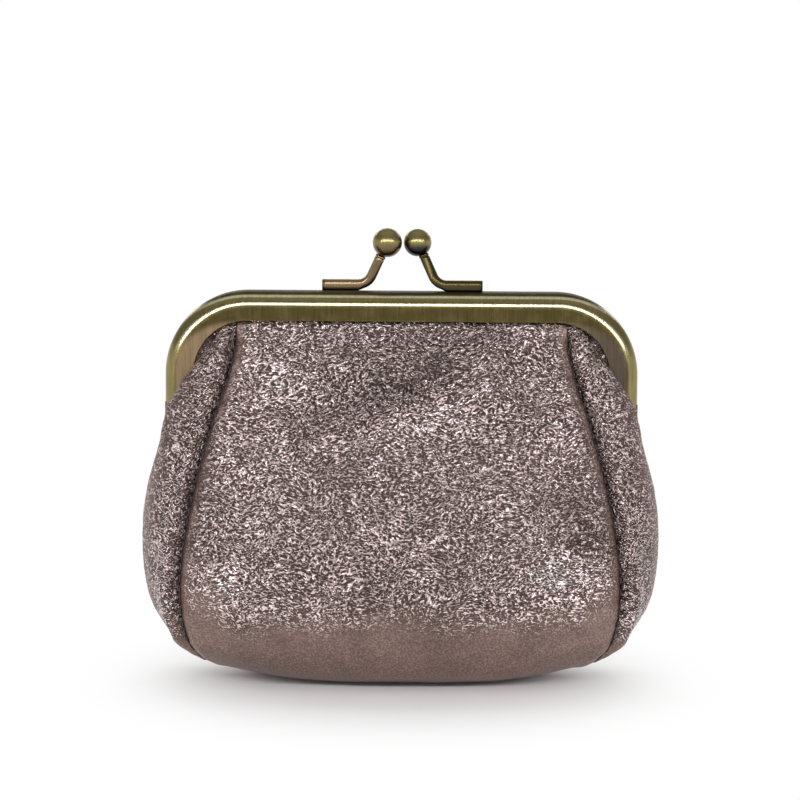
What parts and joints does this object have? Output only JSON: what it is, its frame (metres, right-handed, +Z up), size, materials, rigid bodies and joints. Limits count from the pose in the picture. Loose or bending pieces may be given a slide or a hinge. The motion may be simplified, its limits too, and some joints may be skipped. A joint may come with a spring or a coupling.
{
  "type": "clasp-frame coin purse",
  "caption": "Leather coin purse with side gussets and a hinged brass channel frame that opens at the top and shuts with snap balls.",
  "frame": {"origin": "middle of the overall box at the flat base the purse stands on", "axes": "+X across the width of the frame, -Y out of the front, +Z up to the clasp"},
  "size_m": [0.1096, 0.048, 0.0964],
  "materials": {
    "antique_brass": "antiqued, brushed and lacquered",
    "foil_leather": "crinkled metallic foil, mauve bronze",
    "lining_cloth": "plain woven cotton",
    "packing_paper": "twisted kraft cord"
  },
  "bodies": {
    "pouch": {"main_panel": "foil_leather", "left_gusset": "foil_leather", "right_gusset": "foil_leather", "main_lining": "lining_cloth", "left_gusset_lining": "lining_cloth", "right_gusset_lining": "lining_cloth"},
    "front_half": {"front_frame": "antique_brass", "left_hinge_rivet": "antique_brass", "right_hinge_rivet": "antique_brass", "front_clasp_arm": "antique_brass", "front_clasp_ball": "antique_brass", "front_packing_cord": "packing_paper"},
    "rear_half": {"rear_frame": "antique_brass", "rear_clasp_arm": "antique_brass", "rear_clasp_ball": "antique_brass", "rear_packing_cord": "packing_paper"}
  },
  "joints": [
    {"name": "front_open", "type": "hinge", "parent": "pouch", "child": "front_half", "pos_m": [0, 0, 0.054], "axis": [1, 0, 0], "range_deg": [0, 45], "deforming": ["main_panel", "left_gusset", "right_gusset", "main_lining", "left_gusset_lining", "right_gusset_lining"]},
    {"name": "rear_open", "type": "hinge", "parent": "pouch", "child": "rear_half", "pos_m": [0, 0, 0.054], "axis": [1, 0, 0], "range_deg": [-45, 0]}
  ],
  "couplings": [
    {"joint": "rear_open", "follows": "front_open", "ratio": -1}
  ]
}
